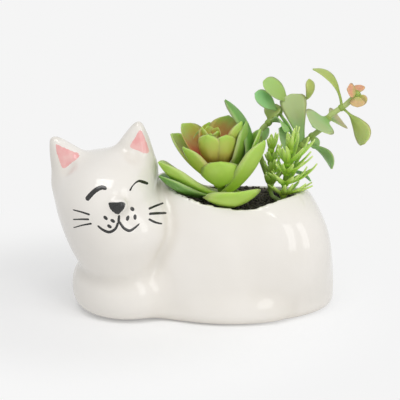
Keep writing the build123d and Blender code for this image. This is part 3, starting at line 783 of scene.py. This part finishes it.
def leaf_plastic(name, bright, second_green_and_shade, blush_colour, blush_stops, edge_colour, rough):
    """Satin moulded plastic with sprayed colour that runs along the leaf."""
    material, tree, surface, where = start_material(name)
    read = {n: add_node(tree, "Attribute", {"attribute_name": n}).outputs["Fac"] for n in leaf_values}
    mist, drift_share = 6 * MM, 0.3
    drift = add_node(tree, "TexNoise", Vector=where, Scale=1 / mist, Detail=3.0)
    place = add_node(tree, "Math", {"operation": "MULTIPLY_ADD"}, _0=drift, _1=drift_share, _2=read["along"])
    place = add_node(tree, "Math", {"operation": "SUBTRACT"}, _0=place, _1=drift_share / 2)
    one = add_node(tree, "ValToRGB", None, bright, Fac=place)
    # The second green, mixed in by tone: blue-green on the sprig, another green on the needles, and on the
    # rosette a darker green that paints the shade on leaves lying in shadow.
    two = add_node(tree, "ValToRGB", None, second_green_and_shade, Fac=place)
    toned = add_node(tree, "Mix", {"data_type": "RGBA"}, Factor=read["tone"], A=one, B=two)
    far = add_node(tree, "Math", {"operation": "ABSOLUTE"}, _0=read["across"])
    rim = add_node(tree, "MapRange", {"interpolation_type": "SMOOTHSTEP"}, Value=far)
    set_inputs(rim, From_Min=0.7, From_Max=1.0, To_Min=0.0, To_Max=0.45)
    edged = add_node(tree, "Mix", {"data_type": "RGBA"}, Factor=rim, A=toned.outputs["Result"])
    set_inputs(edged, B=linear(edge_colour))
    mask = add_node(tree, "ValToRGB", None, blush_stops, Fac=place)
    spray = add_node(tree, "Math", {"operation": "MULTIPLY"}, _0=mask, _1=read["blush"])
    blushed = add_node(tree, "Mix", {"data_type": "RGBA"}, Factor=spray, A=edged.outputs["Result"])
    set_inputs(blushed, B=linear(blush_colour))
    skin_size, skin_height = 1.2 * MM, 0.15 * MM
    fine = add_node(tree, "TexNoise", Vector=where, Scale=1 / skin_size, Detail=2.0)
    bump = add_node(tree, "Bump", Strength=0.12, Distance=skin_height, Height=fine)
    set_inputs(surface, Base_Color=blushed.outputs["Result"], Normal=bump)
    set_inputs(surface, Roughness=rough, IOR=plastic_ior, Subsurface_Weight=0.35)
    set_inputs(surface, Subsurface_Scale=2.0 * MM, Subsurface_Radius=(0.7, 1.0, 0.25))
    return material


# On the rosette the second ramp is a darker green: it paints the shade on leaves that lie low and under
# others, along with their own deeper green.
rosette_plastic = leaf_plastic(
    "moulded polyethylene, sprayed yellow-green",
    [(0.0, "#B6C850"), (0.35, "#BFDB62"), (0.75, "#BADA5E"), (1.0, "#ACD053")],
    [(0.0, "#588326"), (0.5, "#629437"), (1.0, "#6DA246")],
    "#C9603F",
    [(0.35, "#FFFFFF"), (0.98, "#000000")],
    "#D8EAA6",
    0.42,
)
sprig_plastic = leaf_plastic(
    "moulded polyethylene, sprayed blue-green",
    [(0.0, "#9BAC49"), (0.4, "#A8BF5A"), (1.0, "#AEC868")],
    [(0.0, "#8AB15A"), (0.45, "#95C882"), (1.0, "#99CE8C")],
    "#DFA784",
    [(0.15, "#000000"), (0.6, "#FFFFFF")],
    "#BFD49A",
    0.5,
)
needle_plastic = leaf_plastic(
    "moulded polyethylene, dyed bright green",
    [(0.0, "#A0C83A"), (0.5, "#B8DC55"), (1.0, "#CAE67A")],
    [(0.0, "#9CC645"), (1.0, "#B4D85F")],
    "#DCEBA0",
    [(0.5, "#000000"), (1.0, "#FFFFFF")],
    "#BBDC6C",
    0.45,
)
print("leaf materials:", rosette_plastic.name, sprig_plastic.name, needle_plastic.name)

# %% [markdown]
# The rosette is an echeveria: whorls of broad, pointed, cupped leaves round a short leaning stem. The
# outer whorl lies open on the rim, the inner ones stand up round a red heart.

# %% Rosette
rosette_neck = np.array([12.5, -7.0, grit_top + 3.0])
lean, lean_turn = math.radians(17.0), math.radians(223.0)
sideways = math.sin(lean)
rosette_way = np.array([sideways * math.cos(lean_turn), sideways * math.sin(lean_turn), math.cos(lean)])
rosette_length, rosette_stem_radius = 29.8, 2.4
collar_height, collar_swell = 4.4, 1.6
rosette_outline = [
    (0, 0.26), (0.2, 0.5), (0.45, 0.88), (0.68, 1.0), (0.86, 0.76), (0.96, 0.32), (1.0, 0.04),
]
blunt_outline = [
    (0, 0.5), (0.2, 0.84), (0.45, 1.0), (0.7, 1.0), (0.87, 0.86), (0.95, 0.55), (0.98, 0.2), (1.0, 0.04),
]
rosette_whorls = {
    # The outer whorl's second leaf, tucked under the first, and its last, far leaf have a tone of 1: the
    # darker green is partly their own colour, partly painted shade.
    "rosette_outer_whorl": (0.1, {"length": 45, "width": 20, "thickness": 3.0}, [
        (204, 4, 54, 0, 1.06, 1.2, 0.5, 0.1, 0.0, 0.1),
        (202, -7, 57, 0, 0.96, 1.1, 0.45, 1.0, 0.0, 0.0),
        (286, -29, 94, 0, 0.79, 1.6, 0.36, 0.0, 0.0, 1.0),
        (326, 30, 45, 0, 1.03, 1.05, 0.4, 0.05, 0.0, 0.3),
        (5, 42, 38, 0, 0.98, 0.95, 0.4, 0.2, 0.0, 0.3),
        (8, 28, 121, 5, 1.46, 1.3, 0.4, 1.0, 0.0, 0.8),
    ]),
    "rosette_lower_whorl": (0.36, {"length": 40, "width": 20, "thickness": 2.8}, [
        (165, 23, 40, 0, 1.0, 1.15, 0.35, 0.0, 0.7, 0.7),
        (212, 25, 40, 0, 0.88, 0.95, 0.4, 0.1, 0.6, 0.4),
        (270, -2, 92, 0, 0.7, 1.08, 0.4, 0.0, 0.0, 1.0),
        (355, 38, 60, 0, 1.02, 1.25, 0.4, 0.6, 0.2, 0.5),
        (128, 30, 50, 0, 0.85, 0.95, 0.4, 0.5, 0.6, 0.7),
    ]),
    "rosette_upper_whorl": (0.6, {"length": 35, "width": 17, "thickness": 2.5}, [
        (154, 34, 30, 0, 0.98, 1.5, 0.3, 0.0, 1.3, 0.6),
        (250, 35, 44, 0, 0.9, 0.9, 0.35, 0.0, 1.2, 0.7),
        (288, 35, 46, 0, 0.88, 0.9, 0.35, 0.0, 1.2, 0.6),
        (333, 47, 35, 0, 1.0, 1.0, 0.4, 0.1, 1.0, 0.4),
        (62, 50, 30, 0, 0.95, 1.2, 0.4, 0.2, 1.5, 0.6),
        (108, 44, 30, 0, 0.85, 1.0, 0.4, 0.0, 1.3, 0.6),
    ]),
    "rosette_heart": (1.0, {"length": 20, "width": 9, "thickness": 2.2}, [
        (194, 60, 15, 0, 0.85, 1.0, 0.4, 0.0, 0.9),
        (122, 62, 15, 0, 0.8, 1.0, 0.4, 0.0, 0.9),
        (250, 66, 15, 0, 0.65, 1.0, 0.4, 0.0, 1.6),
        (320, 68, 15, 0, 0.7, 1.0, 0.4, 0.0, 1.6),
        (50, 66, 15, 0, 0.75, 1.0, 0.4, 0.0, 1.4),
    ]),
}
for name, (share, kind, rows) in rosette_whorls.items():
    root = rosette_neck + rosette_way * rosette_length * share
    kind = {**kind, "outline": rosette_outline, "blunt": blunt_outline, "groove": 0.35}
    pieces = [moulded_leaf(root, row, kind) for row in rows]
    pieces.append(collar(root, rosette_way, rosette_stem_radius, collar_height, collar_swell))
    plant_piece(name, pieces, rosette_plastic, "rosette_pick", "rosette_leaf")
print("rosette leaves:", sum(len(rows) for _, _, rows in rosette_whorls.values()))

# %% [markdown]
# The sprig is a forked stem with pairs of small spoon-shaped leaves, bluish green, that turn pink at
# the tip of the long arm.

# %% Sprig
sprig_foot = np.array([40.0, 20.0, grit_top])
sprig_reach, sprig_rise, sprig_radius = 49.3, 58.5, 1.6
knot_height, knot_swell = 3.0, 0.5
fork = (0, 0, 0.06)
long_arm = [
    (0, 0, -0.624), fork, (0.23, -0.02, 0.315), (0.4, -0.06, 0.52), (0.6, -0.06, 0.655),
    (0.69, -0.04, 0.785), (0.865, -0.04, 0.885), (1.0, -0.06, 1.0),
]
short_arm = [
    fork, (-0.15, 0.02, 0.415), (-0.105, 0.06, 0.62), (0.05, 0.08, 0.745), (0.14, 0.1, 0.83),
    (0.375, 0.12, 0.915),
]
sprig_size = np.array([sprig_reach, sprig_reach, sprig_rise])
arms = {
    "long": sprig_foot + np.array(long_arm) * sprig_size,
    "short": sprig_foot + np.array(short_arm) * sprig_size,
}
spoon_outline = [(0, 0.2), (0.18, 0.28), (0.42, 0.8), (0.68, 1.0), (0.88, 0.8), (0.96, 0.5), (1.0, 0.12)]
stalked_outline = [(0, 0.16), (0.25, 0.18), (0.45, 0.62), (0.68, 1.0), (0.88, 0.8), (0.96, 0.5), (1.0, 0.1)]
fan_outline = [(0, 0.2), (0.3, 0.42), (0.6, 0.78), (0.82, 1.0), (0.93, 0.9), (0.98, 0.55), (1.0, 0.1)]
sprig_blade = {"width": 12, "thickness": 2.0, "blunt": fan_outline, "groove": 0.2}
spoon = {**sprig_blade, "length": 20, "outline": spoon_outline}
stalked = {**sprig_blade, "length": 28, "outline": stalked_outline}
sprig_leaves = {
    "twig_low_leaves": ("short", 1, 0.2, spoon, [
        (20, 50, 20, 60, 0.6, 0.75, 0.15, 0.6, 0.0),
        (170, 30, 20, 0, 0.5, 0.75, 0.15, 0.5, 0.0),
    ]),
    "twig_middle_leaves": ("short", 2, 0.5, spoon, [
        (40, 72, -30, 0, 0.6, 1.1, 0.15, 0.1, 0.1),
        (335, 32, -100, 50, 1.0, 0.85, 0.15, 0.6, 0.0),
    ]),
    "twig_upper_leaves": ("short", 3, 0.5, spoon, [
        (201, 43, -12, 60, 0.95, 0.88, 0.15, 1.0, 0.0),
        (315, -42, -10, 50, 0.95, 0.9, 0.15, 0.7, 0.1),
    ]),
    "twig_end_leaf": ("short", 4, 0.35, spoon, [
        (207, 52, -30, 55, 1.09, 1.15, 0.15, 0.3, 0.0),
    ]),
    "twig_tip_leaf": ("short", 4, 1.0, spoon, [
        (325, 8, 130, 0, 0.8, 0.85, 0.2, 0.0, 0.3),
    ]),
    "branch_base_leaf": ("long", 1, 0.56, stalked, [
        (2, 10, -60, 30, 0.68, 0.75, 0.15, 0.9, 0.0),
    ]),
    "branch_low_leaves": ("long", 2, 0.16, spoon, [
        (208, 59, 10, 50, 1.08, 1.15, 0.15, 0.8, 0.1),
        (37, 53, 10, -60, 0.54, 0.75, 0.15, 0.6, 0.0),
    ]),
    "branch_broad_leaves": ("long", 2, 0.82, stalked, [
        (150, 76, -14, 54, 1.08, 1.28, 0.15, 0.95, 0.3, 1.0),
        (20, -2, -100, 45, 0.9, 0.85, 0.15, 0.9, 0.2),
    ]),
    "branch_small_leaf": ("long", 3, 0.4, spoon, [
        (68, -48, -30, 60, 0.5, 0.55, 0.15, 0.5, 0.0),
    ]),
    "branch_middle_leaves": ("long", 4, 0.72, spoon, [
        (240, -2, 5, 38, 1.02, 1.75, 0.2, 1.0, 0.25),
        (54, -12, -10, -40, 0.85, 1.35, 0.15, 0.8, 0.5),
    ]),
    "branch_upper_leaves": ("long", 5, 0.75, stalked, [
        (200, 88, -90, 60, 1.13, 0.74, 0.15, 0.0, 0.1),
        (20, -36, -92, 55, 1.0, 1.0, 0.15, 0.2, 0.35),
    ]),
    "branch_tip_leaves": ("long", 6, 1.0, spoon, [
        (208, 26, 10, 60, 0.42, 0.75, 0.2, 0.0, 1.0),
        (268, -50, -10, 0, 0.4, 0.75, 0.2, 0.0, 0.7),
        (58, 45, 10, 0, 0.3, 0.6, 0.2, 0.0, 1.2),
        (332, -38, -10, 60, 0.37, 0.66, 0.2, 0.0, 0.9),
    ]),
}
for name, (arm, run, share, kind, rows) in sprig_leaves.items():
    start, end = arms[arm][run], arms[arm][run + 1]
    root = start + (end - start) * share
    pieces = [moulded_leaf(root, row, kind) for row in rows]
    pieces.append(collar(root, end - start, sprig_radius, knot_height, knot_swell))
    plant_piece(name, pieces, sprig_plastic, "sprig_pick", "sprig_leaf")
print("sprig leaves:", sum(len(row[-1]) for row in sprig_leaves.values()))

# %% [markdown]
# The needle plant is a bright sedum: whorls of thin needles that curve up round a leaning stem, and a
# smaller shoot behind it. No two needles are alike, so each one's rise, curl and length vary a little
# from a fixed seed, and those on the right, the open side, are longer.

# %% Needle plant
needle_neck = np.array([45.5, -9.0, grit_top])
needle_lean = math.radians(7.0)
needle_way = np.array([math.sin(needle_lean), 0, math.cos(needle_lean)])
shoot_side = np.array([-6.0, 13.0])
shoot_foot = needle_neck + [*shoot_side, 1.7]
shoot_turn = math.degrees(math.atan2(shoot_side[1], shoot_side[0]))
needle_outline = [(0, 0.75), (0.3, 1.0), (0.7, 0.72), (0.92, 0.42), (1.0, 0.12)]
needle_blade = {"width": 3.7, "thickness": 1.8, "outline": needle_outline, "groove": 0.0}
main_stem = (needle_neck, needle_way * 32, 1.5)
shoot_stem = (shoot_foot, np.array([0, 0, 27.0]), 1.2)
needle_length, shoot_needle_length = 16.5, 12
# Each whorl: its stem, its place on it, needles in the solid, rise, bend, length, and the sector left free.
needles = {
    "needle_whorl_1": (main_stem, 0.2, 6, 16, 30, needle_length * 0.9, 100),
    "needle_whorl_2": (main_stem, 0.4, 7, 20, 35, needle_length * 0.95, 90),
    "needle_whorl_3": (main_stem, 0.6, 7, 28, 35, needle_length, 70),
    "needle_whorl_4": (main_stem, 0.77, 7, 36, 35, needle_length * 0.95, 40),
    "needle_crown": (main_stem, 1.0, 7, 64, 20, needle_length * 0.75, 0),
    "shoot_whorl_1": (shoot_stem, 0.24, 4, 45, 30, shoot_needle_length * 0.85, 0),
    "shoot_whorl_2": (shoot_stem, 0.48, 4, 45, 30, shoot_needle_length * 0.85, 30),
    "shoot_whorl_3": (shoot_stem, 0.72, 4, 45, 30, shoot_needle_length * 0.85, 0),
    "shoot_crown": (shoot_stem, 1.0, 4, 68, 14, shoot_needle_length * 0.8, 30),
}
seeded = np.random.default_rng(11)
extra_needles, right_droop, right_growth, rise_spread = 3, 7, 0.28, 9
whorl_height, whorl_swell = 3.2, 0.8
for name, (stem, share, count, rise, bend, length, free) in needles.items():
    foot, way, stem_radius = stem
    root = foot + way * share
    kind = {**needle_blade, "length": length}
    pieces = [collar(root, way, stem_radius, whorl_height, whorl_swell)]
    for i in range(count + extra_needles):
        turn = shoot_turn + free / 2 + (360 - free) * (i + 0.5) / (count + extra_needles)
        right = math.cos(math.radians(turn))
        steep = rise - right_droop * right + seeded.uniform(-rise_spread, rise_spread)
        reach = (1.0 + right_growth * right) * seeded.uniform(0.85, 1.12)
        curl, twist = bend * seeded.uniform(0.6, 1.5), seeded.uniform(-30, 30)
        row = (turn, steep, curl, twist, reach, 1.0, 0.1, seeded.random(), 0.6)
        pieces.append(moulded_leaf(root, row, kind))
    plant_piece(name, pieces, needle_plastic, "needle_pick", "needle_leaf")
print("needle whorls:", len(needles))

# %% [markdown]
# The stems keep their CAD solids, because a round moulded stem is what they are. They get the same
# satin plastic, olive at the foot and paler up where the sprig is young.

# %% Stems
# Moulded stem plastic: the leaves' satin, streaked olive, going pale with height.
material, tree, surface, where = start_material("moulded polyethylene stem, olive")
streak, ridge_height = 3 * MM, 0.2 * MM
old_below, young_above = 85 * MM, 118 * MM
bands = add_node(tree, "TexNoise", Vector=where, Scale=1 / streak, Detail=3.0)
climb = add_node(tree, "SeparateXYZ", Vector=where)
age = add_node(tree, "MapRange", Value=climb.outputs["Z"])
set_inputs(age, From_Min=old_below, From_Max=young_above, To_Min=0.0, To_Max=0.75)
grown = add_node(tree, "Math", {"operation": "MULTIPLY_ADD"}, _0=bands, _1=0.3, _2=age)
olive = add_node(tree, "ValToRGB", None, [(0.1, "#7E9B3C"), (0.9, "#C0CF86")], Fac=grown)
ridge = add_node(tree, "Bump", Strength=0.25, Distance=ridge_height, Height=bands)
set_inputs(surface, Base_Color=olive, Roughness=0.5, IOR=plastic_ior, Normal=ridge)
stems = ("rosette_stem", "branch_stem", "needle_stem")
for name in stems:
    dress(name, material)
print("stems dressed:", len(stems))
